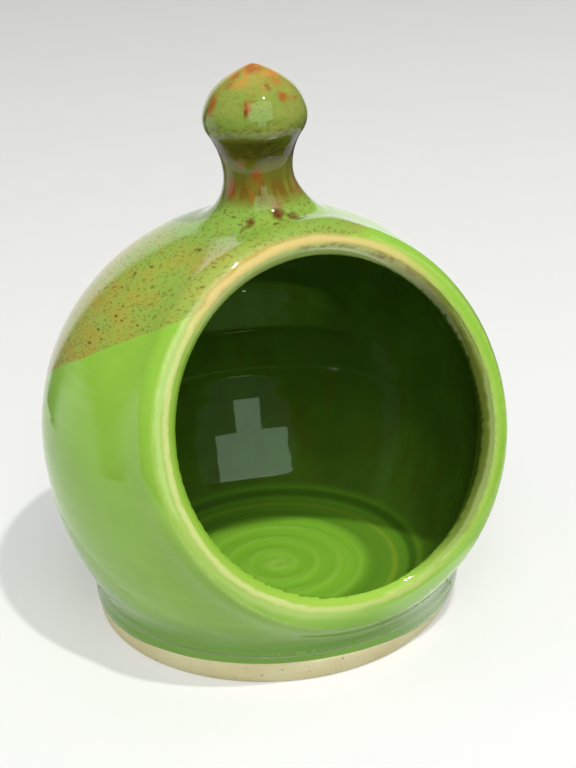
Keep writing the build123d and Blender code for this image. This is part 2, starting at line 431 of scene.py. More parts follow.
def opening_distance(points):
    """Distance to all that is open: the hollow and the throat, negative in the open."""
    depth, away = mouth_place(points)
    throat = np.maximum(away - throat_radius, -collar_depth - depth)
    return smooth_least(hollow_distance(points), throat, throat_blend)


def pot_distance(points):
    """Distance to the glazed surface as it was designed, negative in the pot."""
    return np.maximum(body_distance(points), -opening_distance(points))


def slow_swing(points, sizes, seed):
    """Gentle unevenness between -1 and 1, as a hand-thrown form has it."""
    draw = np.random.default_rng(seed)
    total = np.zeros(len(points))
    for size in sizes:
        way = draw.normal(size=3)
        way *= 2 * pi / size / np.linalg.norm(way)
        total += np.sin(points @ way + draw.uniform(0, 2 * pi))
    return total / len(sizes)


def hump(values, middle, width):
    """A smooth hump of height 1."""
    return np.exp(-(((values - middle) / width) ** 2))


# What the hands left, in millimetres, and the way from the axis to the viewer's right
rightwards = np.array((0.896, -0.444, 0.0))
neck_lean = 0.35
lip_wave, lip_wave_uneven, lip_drop = 1.6, 0.8, 0.5
soft_unevenness, fine_unevenness = 0.12, 0.03
ring_relief, ring_pitch = 0.018, 3.4
groove_depth = 0.15
tip_fullness, root_fullness = 0.8, 1.2
ledge_step, lower_ledge_step = 0.10, 0.08
spiral_relief, spiral_pitch = 0.13, 7.4
fine_relief = 0.03


def hand_shift(points):
    """How far the hands moved each place: foot off centre, leaning neck, lip a wavy ring."""
    height = points[:, 2]
    low = np.clip(1 - height / foot_side_top, 0, 1) ** 2
    lean = neck_lean * (hump(height, 122, 6) - hump(height, 141, 7))
    depth, away = mouth_place(points)
    offset = points - mouth_centre
    turn = np.arctan2(offset[:, 0], offset @ mouth_up)
    wave = -(lip_wave + lip_wave_uneven * np.sin(turn)) * np.sin(2 * turn) - lip_drop
    wave = wave * hump(away, 50, 15) * np.clip((depth + 16) / 12, 0, 1)
    parts = ((low, np.array(foot_off_centre)), (lean, rightwards), (wave, mouth_way))
    return sum(amount[:, None] * way for amount, way in parts)


def thrown_distance(points):
    """The same surface as the hands left it: leaning knob, throwing rings, soft unevenness."""
    points = points - hand_shift(points)
    height = points[:, 2]
    across = np.hypot(points[:, 0], points[:, 1])
    turn = np.arctan2(points[:, 1], points[:, 0])
    depth, away = mouth_place(points)
    on_lip = np.clip((depth + 9) / 4, 0, 1) * hump(away, 50, 8)

    uneven = soft_unevenness * slow_swing(points, (95, 70, 52), 4)
    uneven = uneven + fine_unevenness * slow_swing(points, (26, 21, 17), 9)
    fading = 0.6 + 0.4 * slow_swing(points, (60, 38), 2)
    rings = ring_relief * np.sin(2 * pi * height / ring_pitch + turn) * fading
    grooves = groove_depth * (hump(height, 12.0, 1.4) + 0.8 * hump(height, 16.5, 1.7))
    rightward = np.clip(points @ rightwards / np.maximum(across, 1), 0, 1)
    fuller = tip_fullness * hump(height, 154.5, 5) + root_fullness * rightward**2 * hump(height, 123, 6)
    fuller = fuller * np.clip((30 - across) / 8, 0, 1)
    outside = clearance + uneven + (rings + grooves) * (1 - on_lip) - fuller

    ledges = ledge_step * np.tanh((height - 59.5 - 0.4 * turn) / 0.8)
    ledges = ledges - lower_ledge_step * np.tanh((height - 46.5) / 0.8)
    ledges = ledges + fine_relief * np.sin(2 * pi * (height - 2.0 * turn / pi) / 8.2)
    spiral = spiral_relief * np.sin(2 * pi * across / spiral_pitch - turn)
    spiral = spiral + fine_relief * np.sin(2 * pi * across / 3.3 + turn)
    on_floor = np.clip((14 - height) / 6, 0, 1)
    in_throat = np.clip((depth + 30) / 12, 0, 1) * np.clip((60 - away) / 8, 0, 1)
    inside = -0.28 + (1 - in_throat) * ((1 - on_floor) * ledges + on_floor * spiral)
    inside = inside + 0.2 * in_throat + 0.6 * uneven
    return np.maximum(body_distance(points) + outside, inside - opening_distance(points))


def gradient(field, points, step=0.02):
    """The field's slope at each point."""
    slope = np.empty_like(points)
    for axis in range(3):
        shift = np.zeros(3)
        shift[axis] = step
        slope[:, axis] = (field(points + shift) - field(points - shift)) / (2 * step)
    return slope


def settle(field, points, rounds=2):
    """The points moved onto the field's surface, with the surface's normals there."""
    for _ in range(rounds):
        slope = gradient(field, points)
        steep = np.maximum((slope**2).sum(1), 0.25)
        step = (field(points) / steep)[:, None] * slope
        length = np.maximum(np.linalg.norm(step, axis=1), 1e-9)
        points = points - step * np.minimum(1, 0.6 / length)[:, None]
    slope = gradient(field, points)
    return points, slope / np.linalg.norm(slope, axis=1)[:, None]


def surface_net(field, low, high, size):
    """A net of quads over the field's surface: a point in each cell that it crosses."""
    block = 4
    counts = [int(np.ceil((high[i] - low[i]) / size / block)) * block for i in range(3)]
    grid = np.stack(np.meshgrid(*(np.arange(count) for count in counts), indexing="ij"), -1)
    places = low + size * grid
    middles = places[::block, ::block, ::block] + size * (block - 1) / 2
    values = field(middles.reshape(-1, 3)).reshape(middles.shape[:3])
    for axis in range(3):
        values = np.repeat(values, block, axis)
    near = np.abs(values) < block * size * 1.15
    values[near] = field(places[near])
    inside = values < 0
    cells = tuple(count - 1 for count in values.shape)
    total = np.zeros(cells + (3,))
    crossings = np.zeros(cells)
    corner = [slice(0, -1), slice(1, None)]
    for axis in range(3):
        for spot in np.ndindex(2, 2, 2):
            if spot[axis] == 1:
                continue
            start = values[tuple(corner[i] for i in spot)]
            end = values[tuple(corner[i] for i in np.add(spot, np.arange(3) == axis))]
            crossed = (start < 0) != (end < 0)
            share = np.where(crossed, start / np.where(crossed, start - end, 1), 0)
            total += crossed[..., None] * np.array(spot)
            total[..., axis] += crossed * share
            crossings += crossed
    active = crossings > 0
    numbers = np.full(cells, -1)
    numbers[active] = np.arange(active.sum())
    origin = np.stack(np.nonzero(active), 1)
    points = np.array(low) + size * (origin + total[active] / crossings[active][:, None])
    quads = []
    for axis in range(3):
        u, v = (axis + 1) % 3, (axis + 2) % 3
        lower, upper = [slice(1, -1)] * 3, [slice(1, -1)] * 3
        lower[axis], upper[axis] = slice(0, -1), slice(1, None)
        start, end = inside[tuple(lower)], inside[tuple(upper)]
        i = np.stack(np.nonzero(start != end), 1)
        leaving = start[start != end]
        ring = []
        for step_u, step_v in ((0, 0), (1, 0), (1, 1), (0, 1)):
            spot = i.copy()
            spot[:, u] += step_u
            spot[:, v] += step_v
            ring.append(numbers[tuple(spot.T)])
        ring = np.stack(ring, 1)
        quads.append(np.where(leaving[:, None], ring, ring[:, ::-1]))
    return points, np.concatenate(quads)


def relax(points, quads):
    """Each point moved half way to the middle of its neighbours."""
    first = quads.ravel()
    second = np.roll(quads, -1, 1).ravel()
    starts, ends = np.concatenate((first, second)), np.concatenate((second, first))
    count = np.bincount(starts, minlength=len(points))
    middle = np.stack([np.bincount(starts, points[ends, k], len(points)) for k in range(3)], 1)
    return 0.5 * points + 0.5 * middle / count[:, None]


def cut_triangles(points, triangles, level):
    """Triangles cut along level zero: points with the new ones, those below and those above."""
    below = level < 0
    count = below[triangles].sum(1)
    crossed = triangles[(count == 1) | (count == 2)]
    alone = below[crossed].sum(1) == 1
    odd = below[crossed] == alone[:, None]
    turn = odd.argmax(1)
    rows = np.arange(len(crossed))
    a, b, c = (crossed[rows, (turn + k) % 3] for k in range(3))
    edges = np.sort(np.concatenate((np.stack((a, b), 1), np.stack((a, c), 1))), 1)
    unique, which = np.unique(edges, axis=0, return_inverse=True)
    which = which.ravel() + len(points)
    ab, ac = which[: len(crossed)], which[len(crossed) :]
    start, end = unique[:, 0], unique[:, 1]
    share = (level[start] / (level[start] - level[end]))[:, None]
    points = np.concatenate((points, points[start] * (1 - share) + points[end] * share))
    tips = np.stack((a, ab, ac), 1)
    rests = np.concatenate((np.stack((ab, b, c), 1), np.stack((ab, c, ac), 1)))
    both = np.concatenate((alone, alone))
    low = np.concatenate((triangles[count == 3], tips[alone], rests[~both]))
    high = np.concatenate((triangles[count == 0], tips[~alone], rests[both]))
    return points, low, high


def make_coat(name, node, triangles, material):
    """A coat of glaze as a closed shell: its outer face, its face on the clay and its rims."""
    used, compact = np.unique(triangles, return_inverse=True)
    outer = compact.reshape(-1, 3)
    over, facing = points[used], normals[used]
    count = len(over)
    under = over - facing * np.maximum(0.12, glaze_depth + pot_distance(over))[:, None]
    edges = np.concatenate((outer[:, :2], outer[:, 1:], outer[:, [2, 0]]))
    keys = edges[:, 0] * count + edges[:, 1]
    first, second = edges[~np.isin(keys, edges[:, 1] * count + edges[:, 0])].T
    walls = ((second, first, first + count), (second, first + count, second + count))
    walls = np.concatenate([np.stack(wall, 1) for wall in walls])
    faces = np.concatenate((outer, outer[:, ::-1] + count, walls))
    mesh = bpy.data.meshes.new(name)
    mesh.from_pydata(np.concatenate((over, under)) * mm, [], faces)
    mesh.validate()
    mesh.shade_smooth()
    sides = np.cross(over[second] - over[first], facing[first])
    sides /= np.maximum(np.linalg.norm(sides, axis=1), 1e-9)[:, None]
    corners = (facing[outer], -facing[outer[:, ::-1]], np.repeat(np.tile(sides, (2, 1)), 3, 0))
    corners = np.concatenate([corner.reshape(-1, 3) for corner in corners])
    mesh.normals_split_custom_set(corners.astype(np.float32))
    rates = mesh.attributes.new("turning_rate", "FLOAT", "POINT")
    rates.data.foreach_set("value", np.tile(turning_rate[used], 2).astype(np.float32))
    mesh.materials.append(material)
    stand_in(bpy.data.objects.new(name, mesh), node)


# The edges of the coats: the liner's on the lip, the dip's round the shoulder, the foot's line
dip_line_height = 99.4
dip_line_slope = np.array((0.19, -0.483))
glaze_line_height = 2.2
glaze_line_slope = np.array((-2.5, -5.0)) / foot_side
wiped_height = 0.8


def liner_side(points):
    """Negative on the part of the surface that the liner covers."""
    depth, away = mouth_place(points)
    throat = np.maximum(away - liner_edge_radius, -collar_depth - depth)
    return np.minimum(hollow_distance(points) - wall_thickness / 2, throat)


def dip_side(points):
    """Height above the dip line, which is a tilted plane with a slightly wavy edge."""
    level = dip_line_height + points[:, :2] @ dip_line_slope
    return points[:, 2] - level + 0.5 * slow_swing(points, (34, 22, 13), 5)


def glazed_side(points):
    """Height above the line where the foot was wiped clean of glaze."""
    level = glaze_line_height + points[:, :2] @ glaze_line_slope
    wave = 0.25 * slow_swing(points * (1, 1, 0), (31, 17, 11), 7)
    return points[:, 2] - np.maximum(level + wave, wiped_height)


def coated_distance(points):
    """The thrown surface with the glaze thinned towards the foot's line and below the dip."""
    outer = np.clip(liner_side(points) + 1, 0, 1)
    thin = 0.26 * np.clip(1 - glazed_side(points) / 2.2, 0, 1) ** 2
    step = 0.10 * np.clip(0.5 - dip_side(points) / 3.0, 0, 1)
    return thrown_distance(points) + outer * (thin + step)


low_corner = np.array(cad_box[0]) / mm - 2 * cell
high_corner = np.array(cad_box[1]) / mm + 2 * cell
net_points, net_quads = surface_net(coated_distance, low_corner, high_corner, cell)
for _ in range(3):
    net_points = relax(net_points, net_quads)
    net_points = settle(coated_distance, net_points, 1)[0]
triangles = np.concatenate((net_quads[:, [0, 1, 2]], net_quads[:, [0, 2, 3]]))
points, liner_faces, outer_faces = cut_triangles(net_points, triangles, liner_side(net_points))
points, green_faces, dip_faces = cut_triangles(points, outer_faces, dip_side(points))
points, _, green_faces = cut_triangles(points, green_faces, glazed_side(points))
points, normals = settle(coated_distance, points, 1)

# How sharply the surface turns: glaze runs thin and pale off edges and pools dark in hollows
reach = 1.3
ways = reach * np.concatenate((np.eye(3), -np.eye(3)))
turning_rate = sum(coated_distance(points + way) for way in ways) - 6 * coated_distance(points)
turning_rate /= reach**2


def mouth_place_group():
    """Where a point lies about the mouth: depth from the crest's plane, radius, and height."""
    outputs = dict.fromkeys(("Depth", "Radius", "Up", "Right"), "Float")
    group, given, result = new_group("Mouth Place", "ShaderNodeTree", {"Place": "Vector"}, outputs)
    offset = vector_maths(group, "SUBTRACT", given[0], tuple(mouth_centre * mm))
    depth, up, right = (
        vector_maths(group, "DOT_PRODUCT", offset, tuple(way))
        for way in (mouth_way, mouth_up, (1.0, 0.0, 0.0))
    )
    square = maths(group, "ADD", times(group, up, up), times(group, right, right))
    radius = maths(group, "SQRT", square)
    up, right = (maths(group, "DIVIDE", part, radius) for part in (up, right))
    feed(group, result, {"Depth": depth, "Radius": radius, "Up": up, "Right": right})
    return group


def turned_place_group():
    """Where a point lies about the pot's axis: radius, height, and turning lines as noise."""
    outputs = dict.fromkeys(("Across", "Height", "Lines", "Clouds", "Cream"), "Float")
    group, given, result = new_group("Turned Place", "ShaderNodeTree", {"Place": "Vector"}, outputs)
    place = given[0]
    lines_place = stretched(group, place, (0.06, 0.06, 1.0))
    cream_place = stretched(group, place, (1.0, 1.0, 1.8))
    values = {
        "Across": vector_maths(group, "LENGTH", stretched(group, place, (1.0, 1.0, 0.0))),
        "Height": vector_maths(group, "DOT_PRODUCT", place, (0.0, 0.0, 1.0)),
        "Lines": noise(group, lines_place, 2.4 * mm),
        "Clouds": noise(group, place, 26 * mm),
        "Cream": noise(group, cream_place, 5.5 * mm, detail=4.0),
    }
    feed(group, result, values)
    return group


place_groups = mouth_place_group(), turned_place_group()


def glaze_tree(name):
    """A glossy glaze's material, tree, shader and place, and its outputs of the two place groups."""
    material, tree, shader, place = new_material(name)
    feed(tree, shader, {"Roughness": 0.04, "IOR": 1.5})
    mouth, turned = (
        add_node(tree, "ShaderNodeGroup", {0: place}, node_tree=group).outputs for group in place_groups
    )
    return material, tree, shader, place, mouth, turned


def band(tree, radius, middle, width):
    """1 on a ring of a middle radius and a width in millimetres, fading to 0 off it."""
    off = maths(tree, "ABSOLUTE", maths(tree, "SUBTRACT", radius, middle * mm))
    return spread(tree, off, 0.2 * width * mm, width * mm, 1.0, 0.0)


crest_colour = (0.60, 0.66, 0.22)
crest_left_colour = (0.76, 0.80, 0.33)
crest_top_colour = (0.86, 0.68, 0.26)
crest_orange = (0.62, 0.32, 0.06)
crest_yellow = (0.50, 0.56, 0.10)
iron_brown = (0.16, 0.07, 0.012)
throat_olive_shade = (0.10, 0.13, 0.015)


def break_on_lip(tree, colour, mouth, speckle):
    """The glaze broken pale on the lip's crest: tan at the top, cream on the left, faint right, with a
    dark olive band inside it on the right that is partly painted shade.
    """
    radius = maths(tree, "ADD", mouth["Radius"], maths(tree, "MULTIPLY_ADD", speckle, 1.8 * mm, -0.9 * mm))
    near = spread(tree, mouth["Depth"], -7 * mm, -4 * mm)
    right = spread(tree, mouth["Right"], 0.1, 0.7)
    left = spread(tree, mouth["Right"], 0.2, -0.6)
    top = spread(tree, mouth["Up"], 0.5, 0.9)
    under_top = maths(tree, "SUBTRACT", 1.0, top)
    top_left = times(tree, top, spread(tree, mouth["Right"], 0.1, -0.2))
    fading = spread(tree, right, 0.0, 1.0, 0.7, 0.15)
    flecks = spread(tree, speckle, 0.45, 0.62)
    top_right = times(tree, top, spread(tree, mouth["Right"], -0.15, 0.1))
    pale = mix(tree, left, crest_colour, crest_left_colour)
    pale = mix(tree, top, pale, crest_top_colour)
    for middle, width, tint, *shares in (
        (51.6, 2.0, crest_left_colour, left, 0.3),
        # Dark olive band inside the crest on the right: partly the glaze's own olive, partly painted shade
        (46.9, 3.6, throat_olive_shade, right, 0.8),
        (49.8, 2.4, crest_top_colour, top, 0.7),
        (47.0, 2.4, crest_left_colour, top, 0.5),
        (50.0, 1.2, pale, fading),
        (48.3, 1.2, crest_yellow, under_top, 0.25),
        (51.4, 0.6, crest_orange, top_left, 0.6),
        (48.4, 1.3, iron_brown, top_right, flecks, 0.6),
    ):
        share = times(tree, band(tree, radius, middle, width), near, *shares)
        colour = mix(tree, share, colour, tint)
    return colour


# The hollow's colours are much darker than the lip's: partly the liner's own colour, partly painted shade
# inside the pot
liner_deep = (0.060, 0.130, 0.010)
liner_colour = (0.090, 0.195, 0.015)
liner_umber = (0.085, 0.110, 0.008)
liner_edge_dark = (0.035, 0.090, 0.006)
liner_ring = (0.24, 0.36, 0.025)
liner_floor = (0.22, 0.50, 0.034)
liner_band_and_shade = (0.11, 0.27, 0.018)
liner_pale = (0.36, 0.62, 0.085)
liner_lip = (0.32, 0.60, 0.058)
throat_painted_shade = (0.020, 0.045, 0.004)

inner_green, tree, shader, place, mouth, turned = glaze_tree("liner_glaze")
rate = add_node(tree, "ShaderNodeAttribute", attribute_name="turning_rate").outputs["Fac"]
across = turned["Across"]
runs = noise(tree, stretched(tree, place, (1.0, 1.0, 0.12)), 6 * mm, detail=2.0)
floor = layered(
    tree,
    liner_floor,
    (spread(tree, rate, -0.06, 0.14, 0.0, 0.3), liner_pale),
    (spread(tree, across, 7 * mm, 0.5 * mm, 0.0, 0.5), liner_pale),
    # A darker band round the floor: partly the glaze's own, partly painted shade where the lip's shadow
    # falls
    (spread(tree, across, 25 * mm, 30 * mm, 0.0, 0.9), liner_band_and_shade),
    (times(tree, band(tree, across, 36.5, 1.3), 0.6), liner_ring),
    # A darker ring at the floor's edge
    (times(tree, band(tree, across, 42.0, 2.2), 0.7), liner_edge_dark),
)
low_down = spread(tree, turned["Height"], 30 * mm, 22 * mm)
# On the right the throat is painted dark almost up to the crest: painted shade where it faces away from
# the lamp
shaded = times(tree, spread(tree, mouth["Right"], 0.3, 0.85), 6.5 * mm)
to_lip = maths(tree, "SUBTRACT", mouth["Depth"], shaded)
in_throat = spread(tree, mouth["Depth"], -32 * mm, -12 * mm)
near_mouth = spread(tree, mouth["Depth"], -60 * mm, -30 * mm)
colour = layered(
    tree,
    liner_deep,
    (spread(tree, turned["Clouds"], 0.3, 0.7), liner_colour),
    (spread(tree, runs, 0.45, 0.75, 0.0, 0.5), liner_umber),
    (spread(tree, rate, 0.04, 0.30, 0.0, 0.15), liner_floor),
    (times(tree, low_down, spread(tree, across, 46 * mm, 43 * mm)), floor),
    # From the dark hollow to the bright lip: partly painted shade
    (spread(tree, to_lip, -11 * mm, -3.5 * mm), liner_lip),
    # Painted shade deep in the throat on the right
    (times(tree, spread(tree, mouth["Right"], 0.35, 0.9), in_throat, 0.55), throat_painted_shade),
    (times(tree, spread(tree, mouth["Right"], -0.2, -0.9), near_mouth, 0.35), liner_floor),
)
feed(tree, shader, {"Base Color": break_on_lip(tree, colour, mouth, turned["Cream"])})
make_coat("liner_coat", "liner_glaze", liner_faces, inner_green)

# The green coat: the outside, poured or dipped in leaf green and wiped off the foot. It breaks
# cream on the lip, where it is thin, and lies deeper in the groove above the foot.
green_deep = (0.13, 0.30, 0.022)
green_colour = (0.31, 0.60, 0.060)
green_cloud = (0.28, 0.54, 0.050)
green_pale = (0.44, 0.66, 0.13)
green_foot = (0.14, 0.33, 0.020)

outer_green, tree, shader, place, mouth, turned = glaze_tree("green_glaze")
rate = add_node(tree, "ShaderNodeAttribute", attribute_name="turning_rate").outputs["Fac"]
colour = layered(
    tree,
    green_colour,
    (spread(tree, turned["Clouds"], 0.3, 0.7), green_cloud),
    (spread(tree, turned["Lines"], 0.45, 0.75, 0.0, 0.16), green_pale),
    (spread(tree, rate, -0.05, -0.30, 0.0, 0.5), green_deep),
    (spread(tree, rate, 0.10, 0.35, 0.0, 0.7), green_pale),
    (spread(tree, turned["Height"], 26 * mm, 12 * mm, 0.0, 0.75), green_foot),
)
feed(tree, shader, {"Base Color": break_on_lip(tree, colour, mouth, turned["Cream"])})
make_coat("green_coat", "green_glaze", green_faces, outer_green)

# The dip coat: the top was dipped upside down in a second glaze with iron in it. Over the green
# it fires olive with brown specks, and on the knob it runs to orange and rust red.
dip_olive = (0.38, 0.45, 0.085)
dip_green = (0.27, 0.45, 0.065)
dip_ochre = (0.45, 0.35, 0.045)
neck_brown = (0.19, 0.090, 0.005)
neck_streak = (0.24, 0.24, 0.030)
neck_olive = (0.17, 0.19, 0.015)
root_green = (0.23, 0.42, 0.06)
knob_green = (0.23, 0.34, 0.050)
knob_pale = (0.30, 0.36, 0.065)
knob_orange = (0.60, 0.27, 0.045)
knob_shade_dark = (0.050, 0.034, 0.001)
knob_mottled = (0.11, 0.085, 0.006)
rust_red = (0.38, 0.080, 0.008)
rust_dark = (0.12, 0.025, 0.008)
rust_brown = (0.33, 0.14, 0.015)
rust_rose = (0.34, 0.13, 0.08)
blot_sway = 3.0 * mm


def bloom_group():
    """A soft blot: its centre, turn and half sizes give a mask that is 1 inside and 0 outside."""
    inputs = dict.fromkeys(("Place", "Centre", "Turn", "Half Sizes"), "Vector")
    group, given, result = new_group("Bloom", "ShaderNodeTree", inputs, {"Mask": "Float"})
    local = add_node(group, "ShaderNodeMapping", dict(enumerate(given[:4])), vector_type="TEXTURE")
    far = vector_maths(group, "LENGTH", local.outputs[0])
    feed(group, result, {"Mask": spread(group, far, 0.2, 1.25, 1.0, 0.0)})
    return group


# Blots of iron on knob, neck and root: azimuth from the front in degrees, radius, height, half
# width and half height in millimetres, strength and colour
blooms = (
    (-30, 3.0, 160.4, 2.6, 1.4, 0.75, rust_red),
    (-78, 5.5, 158.6, 2.0, 1.2, 0.6, rust_red),
    (20, 6.5, 157.5, 3.2, 1.4, 0.45, rust_brown),
    (-88, 12.7, 152.0, 2.3, 3.4, 0.85, rust_red),
    (-96, 13.5, 149.5, 1.2, 2.6, 0.6, rust_dark),
    (-35, 12.3, 152.4, 1.5, 2.9, 0.9, rust_red),
    (-37, 12.8, 150.8, 0.9, 1.7, 0.75, rust_dark),
    (14, 10.9, 154.2, 2.3, 1.7, 0.85, rust_red),
    (33, 11.8, 152.9, 2.4, 0.9, 0.7, rust_brown),
    (-4, 8.6, 156.6, 1.0, 1.2, 0.6, rust_dark),
    (-74, 8.2, 157.0, 1.3, 1.2, 0.7, rust_brown),
    (-52, 10.6, 136.6, 1.7, 1.9, 0.5, rust_rose),
    (-27, 10.0, 132.6, 2.6, 3.0, 0.8, rust_brown),
    (-30, 9.9, 133.6, 1.2, 1.5, 0.8, rust_red),
    (-73, 10.2, 129.0, 1.5, 3.6, 0.85, rust_red),
    (-38, 10.6, 127.6, 0.8, 4.0, 0.8, rust_brown),
    (46, 10.6, 127.6, 1.3, 3.4, 0.7, rust_brown),
    (-3, 11.6, 125.0, 2.2, 2.0, 0.6, rust_rose),
    (-5, 13.4, 123.1, 2.0, 1.3, 0.95, rust_dark),
    (8, 14.8, 122.3, 2.2, 1.1, 0.85, rust_dark),
    (-38, 14.9, 121.6, 1.6, 1.2, 0.9, rust_dark),
    (-43, 17.4, 120.5, 0.9, 0.6, 0.85, rust_dark),
    (-140, 12.0, 153.0, 2.2, 2.6, 0.8, rust_red),
    (120, 12.4, 152.5, 2.6, 2.0, 0.8, rust_red),
    (165, 10.4, 129.5, 1.8, 3.6, 0.8, rust_red),
    (88, 12.9, 151.5, 1.4, 2.6, 0.7, rust_brown),
    (-120, 10.2, 131.0, 2.4, 2.8, 0.7, rust_brown),
    (110, 10.3, 130.0, 1.4, 4.0, 0.75, rust_red),
    (130, 14.0, 122.6, 2.0, 1.2, 0.85, rust_dark),
    (-150, 15.6, 121.4, 1.8, 1.1, 0.85, rust_dark),
)

speckled, tree, shader, place, mouth, turned = glaze_tree("dip_glaze")
height = turned["Height"]
patches = noise(tree, stretched(tree, place, (0.6, 0.6, 1.5)), 9 * mm)
mottle = noise(tree, stretched(tree, place, (0.7, 0.7, 1.4)), 0.9 * mm, detail=2.0)
clots = noise(tree, stretched(tree, place, (0.7, 0.7, 1.5)), 2.0 * mm, detail=4.0)
fine = dots(tree, stretched(tree, place, (0.8, 0.8, 1.5)), 1.2 * mm, 0.30, share=0.5)
dashes = dots(tree, stretched(tree, place, (0.5, 0.5, 1.5)), 1.7 * mm, 0.28, share=0.32)
dashes = times(tree, dashes, spread(tree, patches, 0.35, 0.55, 0.25, 0.85))
runs = noise(tree, stretched(tree, place, (1.0, 1.0, 0.15)), 2.2 * mm)
neck = layered(
    tree,
    neck_brown,
    (spread(tree, runs, 0.40, 0.75), neck_streak),
    (spread(tree, height, 129 * mm, 134 * mm, 0.0, 0.7), neck_olive),
)
below = spread(tree, height, 145.5 * mm, 142.5 * mm)
# Painted shade under the knob's overhang, mottled by the glaze's clots
painted_shade_under_knob = times(tree, spread(tree, height, 135 * mm, 139.5 * mm), below, 0.85)
dark = mix(tree, spread(tree, clots, 0.45, 0.62, 0.0, 0.9), knob_shade_dark, knob_mottled)
low_knob = spread(tree, height, 150.5 * mm, 144 * mm, 0.0, 0.7)
knob = layered(
    tree,
    knob_green,
    (spread(tree, patches, 0.4, 0.65), knob_pale),
    (spread(tree, mottle, 0.5, 0.72, 0.0, 0.3), iron_brown),
    (times(tree, fine, 0.35), iron_brown),
    (times(tree, low_knob, spread(tree, clots, 0.45, 0.62)), knob_mottled),
)
ragged = maths(tree, "ADD", height, maths(tree, "MULTIPLY_ADD", patches, 7 * mm, -3.5 * mm))
on_tip = spread(tree, ragged, 153.0 * mm, 159.5 * mm, 0.0, 0.85)
broken = spread(tree, noise(tree, place, 3.2 * mm), 0.40, 0.60, 0.25, 1.0)
colour = layered(
    tree,
    dip_olive,
    (spread(tree, turned["Clouds"], 0.35, 0.65), dip_green),
    (spread(tree, patches, 0.40, 0.68, 0.1, 0.7), dip_ochre),
    (spread(tree, turned["Across"], 34 * mm, 20 * mm, 0.0, 0.8), root_green),
    (spread(tree, mottle, 0.54, 0.68, 0.0, 0.5), iron_brown),
    (times(tree, fine, 0.5), iron_brown),
    (dashes, iron_brown),
    (spread(tree, height, 123 * mm, 128 * mm, 0.0, 0.9), neck),
    (painted_shade_under_knob, dark),
    (spread(tree, height, 142.5 * mm, 146 * mm), knob),
    (times(tree, on_tip, broken), knob_orange),
)
swirl = add_node(tree, "ShaderNodeTexNoise", {"Vector": place, "Scale": 1 / (2.2 * mm)})
swayed = vector_maths(tree, "MULTIPLY_ADD", swirl.outputs["Color"], (blot_sway,) * 3, place)
swayed = vector_maths(tree, "SUBTRACT", swayed, (0.5 * blot_sway,) * 3)
bloom = bloom_group()
for azimuth, radius, level, half_width, half_height, strength, tint in blooms:
    turn = radians(azimuth)
    centre = (radius * mm * sin(turn), -radius * mm * cos(turn), level * mm)
    half_sizes = (half_width * mm, 2 * half_width * mm, half_height * mm)
    inputs = dict(enumerate((swayed, centre, (0.0, 0.0, turn), half_sizes)))
    mask = add_node(tree, "ShaderNodeGroup", inputs, node_tree=bloom).outputs[0]
    colour = mix(tree, times(tree, mask, strength), colour, tint)
# On the right of the lip the dip ran thin, and the green shows through it
thin = spread(tree, maths(tree, "ADD", mouth["Right"], patches), 0.65, 0.95)
thin = times(tree, thin, spread(tree, mouth["Radius"], 68 * mm, 58 * mm))
colour = mix(tree, thin, colour, green_colour)
feed(tree, shader, {"Base Color": break_on_lip(tree, colour, mouth, turned["Cream"])})
make_coat("dip_coat", "dip_glaze", dip_faces, speckled)

# The thrown wall, the ring of the mouth and the knob: the clay under the glaze. They were luted
# together wet and fired once before glazing, and only their coats show.
biscuit = make_clay("biscuit_clay", 1.0)
for name in ("pot_wall", "mouth_collar", "knob"):
    clay_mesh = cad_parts[name].data.copy()
    shell = bmesh.new()
    shell.from_mesh(clay_mesh)
    bmesh.ops.remove_doubles(shell, verts=shell.verts, dist=0.001 * mm)
    shell.to_mesh(clay_mesh)
    shell.free()
    corners = np.empty(3 * len(clay_mesh.vertices), np.float32)
    clay_mesh.vertices.foreach_get("co", corners)
    corners = corners.reshape(-1, 3) / mm
    corners = corners + hand_shift(corners)
    for _ in range(3):
        proud = np.maximum(coated_distance(corners) + 0.4, 0)
        corners -= proud[:, None] * gradient(coated_distance, corners)
    clay_mesh.vertices.foreach_set("co", (corners * mm).astype(np.float32).ravel())
    clay_mesh.materials.clear()
    clay_mesh.materials.append(biscuit)
    stand_in(bpy.data.objects.new(name + "_clay", clay_mesh), name)

# The stage: a pale matt table close to the pot, and a plain pale floor and backdrop beyond it
# that only the camera sees, so that the glaze mirrors a table and not an endless white floor.
table_radius = 0.262
stage_radius = 3.0
stage_height = 2.0
stage_colour = (0.56, 0.56, 0.55)
stage_pale_colour = (0.58, 0.58, 0.57)
stage_lift = 0.33
sunlit_place = (46 * mm, -80 * mm)
sunlit_radius = 42 * mm
sunlit_strength = 1.8

pale, tree, shader, place = new_material("pale_floor")
fibre = noise(tree, place, 40 * mm, detail=4.0)
feed(tree, shader, {"Base Color": mix(tree, fibre, stage_colour, stage_pale_colour)})
seen = add_node(tree, "ShaderNodeLightPath").outputs
mirrored = maths(tree, "ADD", seen["Is Glossy Ray"], seen["Is Transmission Ray"])
lift = times(tree, maths(tree, "ADD", seen["Is Camera Ray"], mirrored, clamp=True), stage_lift)
# A patch of the table glows for mirrored rays only: a painted reflection of ground that sunlight makes far
# brighter than the camera shows
far = vector_maths(tree, "DISTANCE", place, (*sunlit_place, 0.0))
sunlit = spread(tree, far, 0.5 * sunlit_radius, sunlit_radius, sunlit_strength, 0.0)
lift = maths(tree, "MULTIPLY_ADD", sunlit, seen["Is Glossy Ray"], lift)
feed(tree, shader, {"Roughness": 0.9, "Emission Color": (1.0, 1.0, 0.99), "Emission Strength": lift})


